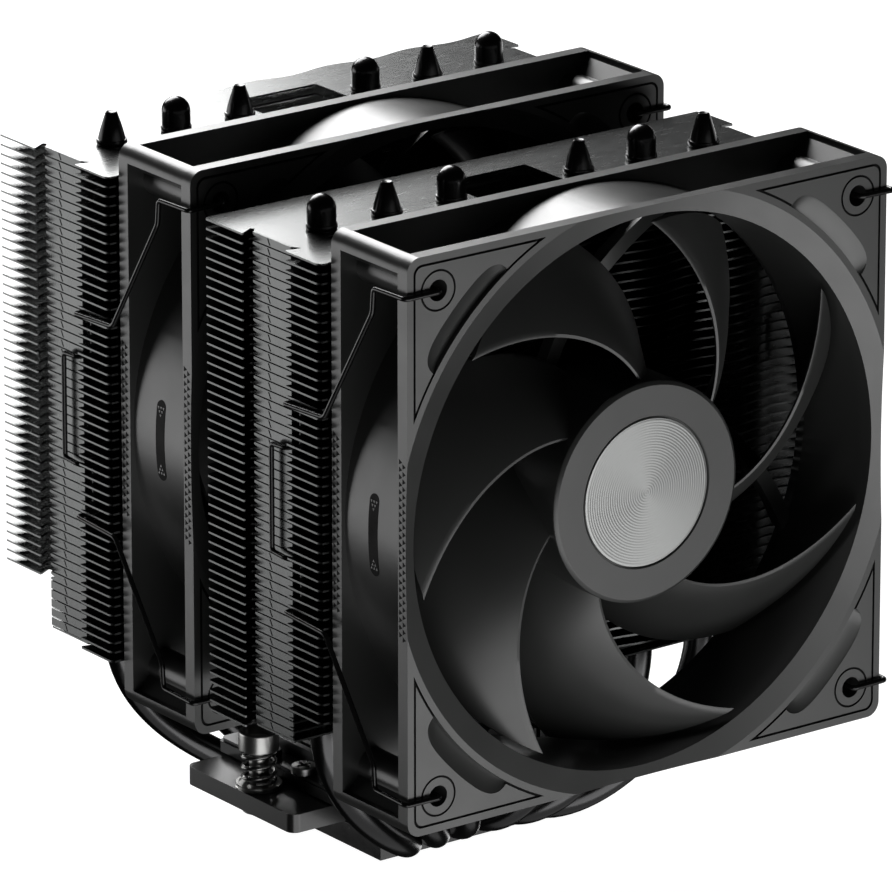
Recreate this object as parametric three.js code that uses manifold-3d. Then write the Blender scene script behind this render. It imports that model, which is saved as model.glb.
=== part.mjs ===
// Twin-tower CPU cooler with two 120 mm fans, six U-shaped heat pipes and a crossbar base.
// Millimetres, +Z up. The origin is the centre of the cold plate's contact face, X runs along
// the crossbar and the towers' width, and the front fan is on the -Y side.
import * as THREE from 'three';
import { mergeVertices } from 'three/addons/utils/BufferGeometryUtils.js';
import Module from 'manifold-3d';

const wasm = await Module();
wasm.setup();

// ---------------------------------------------------------------- driving dimensions
const GAP = 0.3; // running gap between neighbouring pieces

const FAN = {
  side: 120, thick: 25, flange: 3.1, corner: 3, holePitch: 105, holeRadius: 2.2,
  bossRadius: 3.7, beam: 3, barrelOuter: 59.2, barrelInner: 57.2, mouth: 62.6, throat: 57.8,
};
const FAN_AXIS_Z = 93.2; // height of both fan axes
const FRONT_FAN_Y = -81; // front face of the front fan
const SET_PITCH = 72.9; // from the front fan and tower to the second fan and tower

const HUB = { radius: 23.05, face: 0.9, back: 18.8, wall: 1.5, badge: 15.5 };
const BLADE = { count: 7, tip: 56.1, tipAngle: 140.23, chord: 35, front: 1.6, back: 20.3, thick: 1.5 };
const STRUT = { half: 1.55, front: 21.4, back: 24.5, sweep: 42, tipAngle: 66 };
const MOTOR = { floor: 21.5, cup: 21.8, tube: 4.6, sleeve: 3.2, shaft: 1.5, magnet: 21.2 };

const FIN = {
  half: 62.5, depth: 39.2, tabFace: 60.2, tabWall: 1.2, top: 146.35, bottom: 42.15,
  plates: 9, plate: 2, waves: 3, wave: 1.2,
};
const FRONT_TOWER_Y = -36.0; // middle of the front tower's depth

const PIPE = { radius: 3, collar: 3.2, hole: 3.65, towerY: 36.45, towerPitch: 16.05, basePitch: 6.8 };
const PIPE_BASE_Z = 5.2; // height of the pipes' centres in the base
const PIPE_TIP = { collarTop: 147.6, dome: 153.65, cone: 153.3 };

const PLATE = { halfX: 20.5, halfY: 18, thick: 5 };
const COVER = { bottom: 5.4, top: 10.8 };
const BAR = { halfX: 43.1, halfY: 18.9, middleY: 0.6, corner: 2, bottom: 11.1, top: 15.1 };
const CAP = { halfX: 33.2, halfY: 22, bottom: 15.4, top: 18.4, ribHalfX: 28.6, ribTop: 21.3, ribs: 9 };
const RETAINER = { x: 31.3, y: 6.2, head: 2.6, headTop: 20.1 };
const SPRING_SCREW = { x: 38.3, capRadius: 4.2, capBottom: 23.3, capTop: 27.4, stud: 2.05, tip: 8.9 };
const SPRING = { outer: 3.6, wire: 0.5, bottom: 16.25, top: 23.25, coils: 3.5 };
const WASHER = { radius: 4.9, top: 16.2 };

const CLIP = { wire: 0.6, hookX: -52.5, sideX: -61, outX: -63.6, seatX: -59.2, seatY: -44.9 };

// ---------------------------------------------------------------- materials
const finish = (color, roughness, metalness) =>
  new THREE.MeshStandardMaterial({ color, roughness, metalness });
const MATERIAL = {
  nickel: finish(0xb9bcbf, 0.3, 1),
  blackNickel: finish(0x1a1a1c, 0.18, 0.9),
  anodised: finish(0x26272a, 0.4, 0.8),
  gloss: finish(0x0b0b0c, 0.12, 0.2),
  frame: finish(0x1d1e1f, 0.6, 0),
  rotor: finish(0x161718, 0.5, 0),
  badge: finish(0xaeb2ae, 0.35, 0.9),
  steel: finish(0x9fa19f, 0.32, 1),
  blackWire: finish(0x141414, 0.35, 0.6),
  magnet: finish(0x30302f, 0.7, 0.2),
  copper: finish(0x9a5b33, 0.4, 0.9),
  board: finish(0x1f4a32, 0.6, 0),
  bronze: finish(0x8a6f3c, 0.4, 0.9),
};

// ---------------------------------------------------------------- solids
/** A closed geometry as a solid that can be joined and cut. */
function solidOf(source) {
  const bare = source.clone();
  bare.deleteAttribute('normal');
  bare.deleteAttribute('uv');
  const merged = mergeVertices(bare, 1e-4);
  const index = merged.index.array;
  const position = merged.attributes.position;
  const triangles = [];
  let volume = 0;
  const [a, b, c] = [new THREE.Vector3(), new THREE.Vector3(), new THREE.Vector3()];
  for (let i = 0; i < index.length; i += 3) {
    const [p, q, r] = [index[i], index[i + 1], index[i + 2]];
    if (p === q || q === r || r === p) continue;
    triangles.push([p, q, r]);
    a.fromBufferAttribute(position, p);
    b.fromBufferAttribute(position, q);
    c.fromBufferAttribute(position, r);
    volume += a.dot(b.cross(c));
  }
  const outward = volume > 0 ? triangles : triangles.map(([p, q, r]) => [p, r, q]);
  return new wasm.Manifold(new wasm.Mesh({
    numProp: 3,
    vertProperties: Float32Array.from(position.array),
    triVerts: Uint32Array.from(outward.flat()),
  }));
}

/** A solid as a flat-shaded geometry. */
function geometryOf(solid) {
  const mesh = solid.getMesh();
  const geometry = new THREE.BufferGeometry();
  geometry.setAttribute('position', new THREE.BufferAttribute(mesh.vertProperties, 3));
  geometry.setIndex(new THREE.BufferAttribute(mesh.triVerts, 1));
  const flat = geometry.toNonIndexed();
  flat.computeVertexNormals();
  return flat;
}

const union = (solids) => solids.reduce((sum, solid) => sum.add(solid));

/** A regular polygon's corners. */
function ring(radius, sides, x = 0, y = 0, turn = 0) {
  return Array.from({ length: sides }, (_, i) => {
    const angle = turn + (2 * Math.PI * i) / sides;
    return new THREE.Vector2(x + radius * Math.cos(angle), y + radius * Math.sin(angle));
  });
}

/** A rectangle about the origin with rounded corners. */
function roundedRectangle(halfX, halfY, radius, steps = 3) {
  const centres = [[1, 1], [-1, 1], [-1, -1], [1, -1]];
  return centres.flatMap(([sx, sy], quarter) =>
    Array.from({ length: steps + 1 }, (_, i) => {
      const angle = (Math.PI / 2) * (quarter + i / steps);
      return new THREE.Vector2(
        sx * (halfX - radius) + radius * Math.cos(angle),
        sy * (halfY - radius) + radius * Math.sin(angle),
      );
    }));
}

/** An upright prism from z0 to z1. */
function prism(outline, z0, z1, holes = []) {
  const shape = new THREE.Shape(outline);
  holes.forEach((hole) => shape.holes.push(new THREE.Path(hole)));
  const geometry = new THREE.ExtrudeGeometry(shape, { depth: z1 - z0, steps: 1, bevelEnabled: false });
  return solidOf(geometry.translate(0, 0, z0));
}

/** A prism along +Y whose outline is drawn in X and Z. */
function prismY(outline, y0, y1, holes = []) {
  const shape = new THREE.Shape(outline);
  holes.forEach((hole) => shape.holes.push(new THREE.Path(hole)));
  const geometry = new THREE.ExtrudeGeometry(shape, { depth: y1 - y0, steps: 1, bevelEnabled: false });
  return solidOf(geometry.rotateX(Math.PI / 2).translate(0, y1, 0));
}

/** A box between two corners. */
function block(x0, x1, y0, y1, z0, z1) {
  const geometry = new THREE.BoxGeometry(x1 - x0, y1 - y0, z1 - z0);
  return solidOf(geometry.translate((x0 + x1) / 2, (y0 + y1) / 2, (z0 + z1) / 2));
}

/** A turned solid about the Y axis, from [radius, y] pairs. */
function turned(profile, sides = 32) {
  const points = profile.map(([radius, y]) => new THREE.Vector2(radius, y));
  return solidOf(new THREE.LatheGeometry(points, sides));
}

/** A turned solid standing upright at (x, y), from [radius, z] pairs. */
function upright(profile, x, y, sides = 20) {
  const points = profile.map(([radius, z]) => new THREE.Vector2(radius, z));
  return solidOf(new THREE.LatheGeometry(points, sides).rotateX(Math.PI / 2).translate(x, y, 0));
}

/** A path that an extrusion follows exactly through its own stations. */
class StationPath extends THREE.Curve {
  constructor(stations) {
    super();
    this.stations = stations;
  }

  getPoint(u, target = new THREE.Vector3()) {
    const scaled = u * (this.stations.length - 1);
    const first = Math.min(Math.floor(scaled + 1e-6), this.stations.length - 1);
    const next = Math.min(first + 1, this.stations.length - 1);
    return target.copy(this.stations[first]).lerp(this.stations[next], Math.max(scaled - first, 0));
  }

  getPointAt(u, target) {
    return this.getPoint(u, target);
  }

  getTangent(u, target = new THREE.Vector3()) {
    const last = this.stations.length - 1;
    const here = Math.round(u * last);
    const before = this.stations[Math.max(here - 1, 0)];
    const after = this.stations[Math.min(here + 1, last)];
    const at = this.stations[here];
    target.set(0, 0, 0);
    if (here > 0) target.add(at.clone().sub(before).normalize());
    if (here < last) target.add(after.clone().sub(at).normalize());
    return target.normalize();
  }

  getTangentAt(u, target) {
    return this.getTangent(u, target);
  }
}

/** A round rod through the stations. */
function rod(stations, radius, sides) {
  const steps = stations.length - 1;
  const geometry = new THREE.ExtrudeGeometry(new THREE.Shape(ring(radius, sides)), {
    steps, extrudePath: new StationPath(stations), bevelEnabled: false,
  });
  return solidOf(geometry);
}

/** The corners of a bent wire, each cut by a short chamfer of two stations. */
function bentWire(corners, bend) {
  const points = corners.map((corner) => new THREE.Vector3(...corner));
  const stations = [points[0]];
  for (let i = 1; i < points.length - 1; i += 1) {
    const at = points[i];
    const back = points[i - 1].clone().sub(at);
    const on = points[i + 1].clone().sub(at);
    const reach = Math.min(bend, back.length() * 0.45, on.length() * 0.45);
    const start = at.clone().add(back.setLength(reach));
    const end = at.clone().add(on.setLength(reach));
    stations.push(start, end);
  }
  stations.push(points[points.length - 1]);
  return stations;
}

/** A named mesh of one solid. */
function piece(name, solid, material) {
  const mesh = new THREE.Mesh(geometryOf(solid), material);
  mesh.name = name;
  return mesh;
}

// ---------------------------------------------------------------- base
const pipeIndexes = [0, 1, 2, 3, 4, 5];
const baseX = (i) => (i - 2.5) * PIPE.basePitch;
const towerX = (i) => Math.sign(i - 2.5) * (Math.abs(i - 2.5) + 0.5) * PIPE.towerPitch;

/** The round channels that hold the pipes, as one cutting solid per pipe. */
function pipeChannels(radius) {
  return pipeIndexes.map((i) => prismY(ring(radius, 10, baseX(i), PIPE_BASE_Z, Math.PI / 10), -30, 30));
}

function coldPlate() {
  const body = block(-PLATE.halfX, PLATE.halfX, -PLATE.halfY, PLATE.halfY, 0, PLATE.thick);
  return pipeChannels(PIPE.radius + 0.35).reduce((rest, channel) => rest.subtract(channel), body);
}

function baseCover() {
  const body = block(-PLATE.halfX, PLATE.halfX, -PLATE.halfY + 0.5, PLATE.halfY - 0.5,
    COVER.bottom, COVER.top);
  return pipeChannels(PIPE.radius + 0.35).reduce((rest, channel) => rest.subtract(channel), body);
}

const retainerPlaces = [[-1, -1], [1, -1], [-1, 1], [1, 1]];

function mountingCrossbar() {
  const screws = [-1, 1].map((side) => ring(SPRING_SCREW.stud + 0.4, 12, side * SPRING_SCREW.x, 0));
  const threads = retainerPlaces.map(([sx, sy]) =>
    ring(1.6, 8, sx * RETAINER.x, sy * RETAINER.y));
  const outline = roundedRectangle(BAR.halfX, BAR.halfY, BAR.corner)
    .map((point) => new THREE.Vector2(point.x, point.y + BAR.middleY));
  return prism(outline, BAR.bottom, BAR.top, [...screws, ...threads]);
}

/** Plate with lengthwise ribs, and a clear ledge round each retaining screw. */
function baseTopPlate() {
  const holes = retainerPlaces.map(([sx, sy]) => ring(1.6, 8, sx * RETAINER.x, sy * RETAINER.y));
  const plate = prism(roundedRectangle(CAP.halfX, CAP.halfY, 1.5, 2), CAP.bottom, CAP.top, holes);
  const pitch = (2 * CAP.ribHalfX) / CAP.ribs;
  const ribs = Array.from({ length: CAP.ribs }, (_, i) => {
    const left = -CAP.ribHalfX + (i + 0.2) * pitch;
    return block(left, left + pitch * 0.6, -CAP.halfY + 2, CAP.halfY - 2, CAP.top - 1, CAP.ribTop);
  });
  return union([plate, ...ribs]);
}

/** Pan-head screw with a cross recess. */
function retainerScrew(sx, sy) {
  const [x, y] = [sx * RETAINER.x, sy * RETAINER.y];
  const top = RETAINER.headTop;
  const body = upright([[0, 11.4], [1.2, 11.4], [1.2, CAP.top], [RETAINER.head, CAP.top],
    [RETAINER.head, top - 0.7], [RETAINER.head - 0.7, top], [0, top]], x, y, 12);
  const long = block(x - 1.5, x + 1.5, y - 0.35, y + 0.35, top - 0.8, top + 1);
  const cross = block(x - 0.35, x + 0.35, y - 1.5, y + 1.5, top - 0.8, top + 1);
  return body.subtract(long.add(cross));
}

/** Captive screw: recessed cap, plain stud through the spring, grooved end. */
function springScrew(side) {
  const s = SPRING_SCREW;
  const groove = s.stud - 0.35;
  const profile = [[0, s.tip], [groove, s.tip], [groove, 10.8], [s.stud, 10.8],
    [s.stud, s.capBottom], [s.capRadius, s.capBottom], [s.capRadius, s.capTop - 0.5],
    [s.capRadius - 0.4, s.capTop], [3.3, s.capTop], [3.3, 25.4], [0, 25.4]];
  const body = upright(profile, side * s.x, 0, 12);
  return body.subtract(block(side * s.x - 2.4, side * s.x + 2.4, -0.45, 0.45, 24.6, 26));
}

/** The ring in the screw's groove under the crossbar. */
function retainingRing(side) {
  const inner = SPRING_SCREW.stud - 0.05;
  return prism(ring(3.5, 12, side * SPRING_SCREW.x, 0), 9.9, 10.7,
    [ring(inner, 12, side * SPRING_SCREW.x, 0)]);
}

function springWasher(side) {
  return prism(ring(WASHER.radius, 18, side * SPRING_SCREW.x, 0), BAR.top, WASHER.top,
    [ring(SPRING_SCREW.stud + 0.4, 12, side * SPRING_SCREW.x, 0)]);
}

function coilSpring(side) {
  const radius = SPRING.outer - SPRING.wire;
  const steps = Math.round(SPRING.coils * 8);
  const low = SPRING.bottom + SPRING.wire;
  const rise = SPRING.top - SPRING.wire - low;
  const stations = Array.from({ length: steps + 1 }, (_, i) => {
    const turn = 2 * Math.PI * SPRING.coils * (i / steps);
    return new THREE.Vector3(side * SPRING_SCREW.x + radius * Math.cos(turn), radius * Math.sin(turn),
      low + rise * (i / steps));
  });
  return rod(stations, SPRING.wire, 5);
}

// ---------------------------------------------------------------- heat pipes
/** One leg from a tip down to the base, as stations; sign is -1 for the front leg. */
function pipeLeg(i, sign) {
  const outward = Math.abs(i - 2.5) - 0.5;
  const top = new THREE.Vector3(towerX(i), sign * PIPE.towerY, 42);
  const foot = new THREE.Vector3(baseX(i), sign * 19, PIPE_BASE_Z);
  const drop = top.clone().setZ(20 - outward);
  const reach = foot.clone().setY(sign * (32 + 1.6 * outward));
  const bend = new THREE.CubicBezierCurve3(top, drop, reach, foot).getPoints(7);
  return [new THREE.Vector3(towerX(i), sign * PIPE.towerY, PIPE_TIP.collarTop - 1), ...bend];
}

/** The closed end above the top fin: a collar, then a dome or a cone. */
function pipeTip(i, sign, domed) {
  const base = PIPE_TIP.collarTop;
  const collar = [[0, base - 2.2], [PIPE.radius - 0.4, base - 2.2], [PIPE.collar, base - 0.9],
    [PIPE.collar, base]];
  const dome = [[3, 150], [2.1, 152.6], [0.8, 153.5], [0, PIPE_TIP.dome]];
  const cone = [[2.8, base + 0.1], [1.14, PIPE_TIP.cone], [0, PIPE_TIP.cone]];
  return upright([...collar, ...(domed ? dome : cone)], towerX(i), sign * PIPE.towerY, 10);
}

function heatPipe(i) {
  const front = pipeLeg(i, -1);
  const rear = pipeLeg(i, 1).reverse();
  const tube = rod([...front, ...rear], PIPE.radius, 8);
  const frontDome = i % 2 === 0;
  return union([tube, pipeTip(i, -1, frontDome), pipeTip(i, 1, !frontDome)]);
}

// ---------------------------------------------------------------- fin stacks
/** One side of a fin from its plain edge to its waved edge, relative to the tower's middle. */
function finSide() {
  const h = FIN.half;
  const d = FIN.depth / 2;
  return [[-h + 0.3, d], [-h, 6.6], [-59, 8.3], [-58.5, 7.4], [-59.9, 6], [-FIN.tabFace, -6.7],
    [-58.6, -7.6], [-58.6, -9], [-h + 0.2, -7.9], [-h, -d]];
}

/** The whole fin. Its two sides are the same shape turned half round; wingless fins stop short. */
function finOutline(wingless) {
  const left = finSide();
  const right = left.map(([x, y]) => [-x, -y]);
  const d = FIN.depth / 2;
  if (wingless) {
    return [...left.slice(0, 6), ...right.slice(4)].map(([x, y]) => new THREE.Vector2(x, y));
  }
  const waved = Array.from({ length: 2 * FIN.waves - 1 }, (_, i) => {
    const x = -FIN.half + ((i + 1) * FIN.half) / FIN.waves;
    return [x, -d + (i % 2 === 0 ? FIN.wave : 0)];
  });
  return [...left, ...waved, ...right].map(([x, y]) => new THREE.Vector2(x, y));
}

/** A tower: plates standing for the fins, joined by the two walls of folded tabs. */
function finStack(wingedFrom, holeY) {
  const holes = pipeIndexes.map((i) => ring(PIPE.hole, 6, towerX(i), holeY));
  const pitch = (FIN.top - FIN.bottom - FIN.plate) / (FIN.plates - 1);
  const plates = Array.from({ length: FIN.plates }, (_, i) => {
    const z = FIN.bottom + i * pitch;
    return prism(finOutline(z < wingedFrom), z, z + FIN.plate, holes);
  });
  const wall = (side) => block(
    Math.min(side * FIN.tabFace, side * (FIN.tabFace - FIN.tabWall)),
    Math.max(side * FIN.tabFace, side * (FIN.tabFace - FIN.tabWall)),
    side < 0 ? -6.6 : -5.9, side < 0 ? 5.9 : 6.6, FIN.bottom, FIN.top);
  return union([...plates, wall(-1), wall(1)]);
}

/** The recess in the top fin and the notches that the wire clips sit in. */
function finCuts(clipLocalY) {
  const recess = block(-10.5, 10.5, -9.5, 7, FIN.top - 0.6, FIN.top + 1);
  const seats = [70, 103.8].flatMap((z) => [-1, 1].map((side) => block(
    Math.min(side * 58.3, side * 66), Math.max(side * 58.3, side * 66),
    clipLocalY - 1.9, clipLocalY + 2.6, z, z + 12.6)));
  return union([recess, ...seats]);
}

/** The front tower keeps its waved edge to the front, the rear tower to the rear. */
function tower(front) {
  const seat = CLIP.seatY - FRONT_TOWER_Y;
  const holeY = -PIPE.towerY - FRONT_TOWER_Y;
  const plain = finStack(front ? 50 : 53, front ? holeY : -holeY);
  const turnedRound = front ? plain : plain.rotate([0, 0, 180]);
  return turnedRound.subtract(finCuts(seat));
}

// ---------------------------------------------------------------- fans
// Each fan is drawn about its own axis: y = 0 is its open front face, air leaves at y = thick.
function fanFrame() {
  const h = FAN.side / 2;
  const square = roundedRectangle(h, h, FAN.corner, 2);
  const back = FAN.thick;
  const outer = prismY(square, 0, back);
  const flanges = [[0, FAN.flange], [back - FAN.flange, back]].map(([y0, y1]) => prismY(square, y0, y1));
  const barrel = prismY(ring(FAN.barrelOuter, 30), 0.5, back - 0.5);
  const corners = [[-1, -1], [1, -1], [1, 1], [-1, 1]];
  const beams = corners.map(([sx, sz]) => prismY(
    [[h, h], [h - FAN.beam, h], [h - FAN.beam, h - FAN.beam], [h, h - FAN.beam]]
      .map(([x, z]) => new THREE.Vector2(sx * x, sz * z)), 0.2, back - 0.2));
  const bosses = corners.map(([sx, sz]) => prismY(
    ring(FAN.bossRadius, 8, (sx * FAN.holePitch) / 2, (sz * FAN.holePitch) / 2), 0.2, back - 0.2));
  const webs = corners.map(([sx, sz]) => prismY(
    [[52.5, 50.4], [59.6, 57.5], [57.5, 59.6], [50.4, 52.5]]
      .map(([x, z]) => new THREE.Vector2(sx * x, sz * z)), 0.2, back - 0.2));
  const bore = turned([[0, -1], [FAN.mouth, -1], [FAN.mouth, 0], [FAN.throat, 1],
    [FAN.barrelInner, 5], [FAN.barrelInner, back + 1], [0, back + 1]], 30);
  const screws = corners.map(([sx, sz]) => prismY(
    ring(FAN.holeRadius, 8, (sx * FAN.holePitch) / 2, (sz * FAN.holePitch) / 2), -1, back + 1));
  const shell = union([...flanges, barrel, ...beams, ...webs, ...bosses]).intersect(outer)
    .subtract(bore).subtract(union(screws));
  return union([shell, ...fanStruts(), motorCup()]);
}

/** Four struts that sweep out from the motor cup to the barrel on a spiral. */
function fanStruts() {
  const steps = 5;
  const inner = MOTOR.cup - 1;
  const outer = FAN.barrelInner + 0.8;
  const slope = Math.tan(THREE.MathUtils.degToRad(STRUT.sweep));
  const edge = (side, turn) => Array.from({ length: steps + 1 }, (_, k) => {
    const radius = inner + ((outer - inner) * k) / steps;
    const angle = THREE.MathUtils.degToRad(STRUT.tipAngle + turn) - slope * Math.log(radius / outer);
    const heading = angle - THREE.MathUtils.degToRad(STRUT.sweep);
    return new THREE.Vector2(radius * Math.cos(angle) - side * STRUT.half * Math.sin(heading),
      radius * Math.sin(angle) + side * STRUT.half * Math.cos(heading));
  });
  return [0, 90, 180, 270].map((turn) =>
    prismY([...edge(-1, turn), ...edge(1, turn).reverse()], STRUT.front, STRUT.back));
}

/** The cup that carries the motor, with the bearing tube on its floor. */
function motorCup() {
  const m = MOTOR;
  return turned([[m.sleeve + 0.3, 6], [m.tube, 6], [m.tube, m.floor], [m.cup - 1.5, m.floor],
    [m.cup - 1.5, 19.6], [m.cup, 19.6], [m.cup, 24.7], [m.sleeve + 0.3, 24.7],
    [m.sleeve + 0.3, 6]], 20);
}

/** Blade leading edge: angle behind the tip's leading edge, in degrees, at a radius. */
function sweepBack(radius) {
  const inward = BLADE.tip - radius;
  return 1.36 * inward + 0.004 * inward * inward;
}

/** One blade: a thin block bent onto a helical surface. */
function blade(number) {
  const spans = 4;
  const chords = 3;
  const geometry = new THREE.BoxGeometry(1, 1, 1, spans, 1, chords);
  const position = geometry.attributes.position;
  const root = HUB.radius - 0.9;
  for (let i = 0; i < position.count; i += 1) {
    const span = position.getX(i) + 0.5;
    const face = position.getY(i);
    const along = position.getZ(i) + 0.5;
    const radius = root + (BLADE.tip - root) * span;
    const angle = BLADE.tipAngle - (360 / BLADE.count) * number - sweepBack(radius) - BLADE.chord * along;
    const front = BLADE.front + 1.9 * (1 - span);
    const axial = front + (BLADE.back - front) * (0.72 * along + 0.28 * along * along);
    const thin = BLADE.thick * (0.45 + 0.55 * Math.sin(Math.PI * Math.min(0.9, 0.15 + along)));
    const turn = THREE.MathUtils.degToRad(angle);
    const y = THREE.MathUtils.clamp(axial + face * thin, BLADE.front - 0.4, BLADE.back);
    position.setXYZ(i, radius * Math.cos(turn), y, radius * Math.sin(turn));
  }
  return solidOf(geometry);
}

function impeller() {
  const h = HUB;
  const inner = h.radius - h.wall;
  const hub = turned([[0, h.face + 0.6], [h.badge + 0.3, h.face + 0.6], [h.badge + 0.3, h.face],
    [h.radius - 1.2, h.face], [h.radius, h.face + 1.2], [h.radius, h.back], [inner, h.back],
    [inner, h.face + 2], [0, h.face + 2]], 21);
  return union([hub, ...Array.from({ length: BLADE.count }, (_, i) => blade(i))]);
}

function hubBadge() {
  const y = HUB.face;
  return turned([[0, y], [HUB.badge, y], [HUB.badge, y + 0.55], [0, y + 0.55]], 28);
}

function magnetRing() {
  return turned([[18.6, 4.2], [MOTOR.magnet, 4.2], [MOTOR.magnet, 17], [18.6, 17], [18.6, 4.2]], 18);
}

/** Four-pole wound core round the bearing tube. */
function stator() {
  const core = turned([[MOTOR.tube + GAP, 6.5], [9, 6.5], [9, 15.5], [MOTOR.tube + GAP, 15.5],
    [MOTOR.tube + GAP, 6.5]], 16);
  const arm = block(7, 17, 7.5, 14.5, -4, 4).add(block(14.6, 16.8, 7.2, 14.8, -6.4, 6.4));
  return union([core, ...[0, 90, 180, 270].map((turn) => arm.rotate([0, turn, 0]))]);
}

function circuitBoard() {
  return prismY(ring(18, 18), 17.6, 18.8, [ring(MOTOR.tube + GAP, 12)]);
}

function bearingSleeve() {
  const m = MOTOR;
  return turned([[m.shaft + GAP, 6], [m.sleeve, 6], [m.sleeve, 21], [m.shaft + GAP, 21],
    [m.shaft + GAP, 6]], 12);
}

function shaft() {
  const r = MOTOR.shaft;
  return turned([[0, HUB.face + 2], [r, HUB.face + 2], [r, 20], [0, 20.4]], 12);
}

/** A whole fan at its place along Y. */
function fan(prefix, y) {
  const group = new THREE.Group();
  group.position.set(0, y, FAN_AXIS_Z);
  group.add(
    piece(`${prefix}_fan_frame`, fanFrame(), MATERIAL.frame),
    piece(`${prefix}_impeller`, impeller(), MATERIAL.rotor),
    piece(`${prefix}_hub_badge`, hubBadge(), MATERIAL.badge),
    piece(`${prefix}_magnet_ring`, magnetRing(), MATERIAL.magnet),
    piece(`${prefix}_motor_stator`, stator(), MATERIAL.copper),
    piece(`${prefix}_circuit_board`, circuitBoard(), MATERIAL.board),
    piece(`${prefix}_bearing_sleeve`, bearingSleeve(), MATERIAL.bronze),
    piece(`${prefix}_shaft`, shaft(), MATERIAL.steel),
  );
  return group;
}

// ---------------------------------------------------------------- wire clips
/** Upper half of a left clip, from the screw hole to the handle; z is measured from the fan axis. */
function clipHalf() {
  const c = CLIP;
  const y = FRONT_FAN_Y;
  return [
    [c.hookX, y + 2.4, 52.5], [c.hookX, y - 1, 52.5], [c.sideX, y - 1, 52.4],
    [c.sideX, y + 9.6, 52.1], [c.sideX, y + 10, 47], [c.outX, y + 22.6, 22.6],
    [c.outX, c.seatY, 21.9], [c.seatX, c.seatY, 21.6], [c.seatX, c.seatY, 12.2],
    [-61.5, -42.4, 11.6], [-61.5, -37.6, 11.3],
  ];
}

/** One whole clip: the half and its mirror image below; side is -1 for the left. */
function wireClip(side) {
  const upper = clipHalf();
  const lower = clipHalf().map(([x, y, z]) => [x, y, -z]).reverse();
  const corners = [...upper, ...lower].map(([x, y, z]) => [side * -x, y, FAN_AXIS_Z + z]);
  return rod(bentWire(corners, 0.9), CLIP.wire, 4);
}

// ---------------------------------------------------------------- assembly
const cooler = new THREE.Group();

cooler.add(
  piece('cold_plate', coldPlate(), MATERIAL.nickel),
  piece('base_cover', baseCover(), MATERIAL.nickel),
  piece('mounting_crossbar', mountingCrossbar(), MATERIAL.gloss),
  piece('base_top_plate', baseTopPlate(), MATERIAL.blackNickel),
);

retainerPlaces.forEach(([sx, sy], i) => {
  cooler.add(piece(`retainer_screw_${i + 1}`, retainerScrew(sx, sy), MATERIAL.steel));
});

[['left', -1], ['right', 1]].forEach(([name, side]) => {
  cooler.add(
    piece(`${name}_spring_screw`, springScrew(side), MATERIAL.steel),
    piece(`${name}_retaining_ring`, retainingRing(side), MATERIAL.steel),
    piece(`${name}_coil_spring`, coilSpring(side), MATERIAL.steel),
    piece(`${name}_spring_washer`, springWasher(side), MATERIAL.steel),
  );
});

pipeIndexes.forEach((i) => {
  cooler.add(piece(`heat_pipe_${i + 1}`, heatPipe(i), MATERIAL.blackNickel));
});

const frontTower = piece('fin_stack_front', tower(true), MATERIAL.anodised);
frontTower.position.y = FRONT_TOWER_Y;
const rearTower = piece('fin_stack_rear', tower(false), MATERIAL.anodised);
rearTower.position.y = FRONT_TOWER_Y + SET_PITCH;
cooler.add(frontTower, rearTower);

cooler.add(fan('front', FRONT_FAN_Y), fan('mid', FRONT_FAN_Y + SET_PITCH));

[['front', 0], ['mid', SET_PITCH]].forEach(([name, shift]) => {
  [['left', -1], ['right', 1]].forEach(([hand, side]) => {
    const clip = piece(`${name}_clip_${hand}`, wireClip(side), MATERIAL.blackWire);
    clip.position.y = shift;
    cooler.add(clip);
  });
});

export default cooler;
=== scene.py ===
"""Looks of a twin-tower CPU cooler with two fans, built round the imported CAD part.

Shapes are drawn in millimetres in the part's own frame, with the contact face at the origin, and
scaled to metres as each mesh is made. The front fan is on the -Y side.
"""
import math

import bmesh
import bpy
import numpy as np
from mathutils import Matrix, Vector
from mathutils.geometry import tessellate_polygon


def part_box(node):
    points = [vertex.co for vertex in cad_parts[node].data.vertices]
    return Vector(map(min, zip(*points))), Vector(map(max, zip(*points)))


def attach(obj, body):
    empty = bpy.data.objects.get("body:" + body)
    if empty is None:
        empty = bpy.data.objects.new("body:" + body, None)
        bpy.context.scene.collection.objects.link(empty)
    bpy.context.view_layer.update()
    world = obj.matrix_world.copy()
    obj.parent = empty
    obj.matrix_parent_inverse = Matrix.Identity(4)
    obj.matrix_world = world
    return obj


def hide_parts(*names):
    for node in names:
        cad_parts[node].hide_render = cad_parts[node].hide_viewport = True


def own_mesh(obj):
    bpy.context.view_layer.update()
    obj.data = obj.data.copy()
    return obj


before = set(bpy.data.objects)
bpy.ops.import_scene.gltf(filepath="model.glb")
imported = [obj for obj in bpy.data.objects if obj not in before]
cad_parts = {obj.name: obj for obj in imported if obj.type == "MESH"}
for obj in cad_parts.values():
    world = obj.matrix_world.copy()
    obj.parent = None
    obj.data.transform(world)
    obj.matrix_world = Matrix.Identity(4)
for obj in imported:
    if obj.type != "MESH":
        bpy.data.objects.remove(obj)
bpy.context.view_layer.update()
MM = 0.001


def box_mm(node):
    """Lowest and highest corner of a CAD node, in millimetres."""
    low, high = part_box(node)
    return low / MM, high / MM


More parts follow.
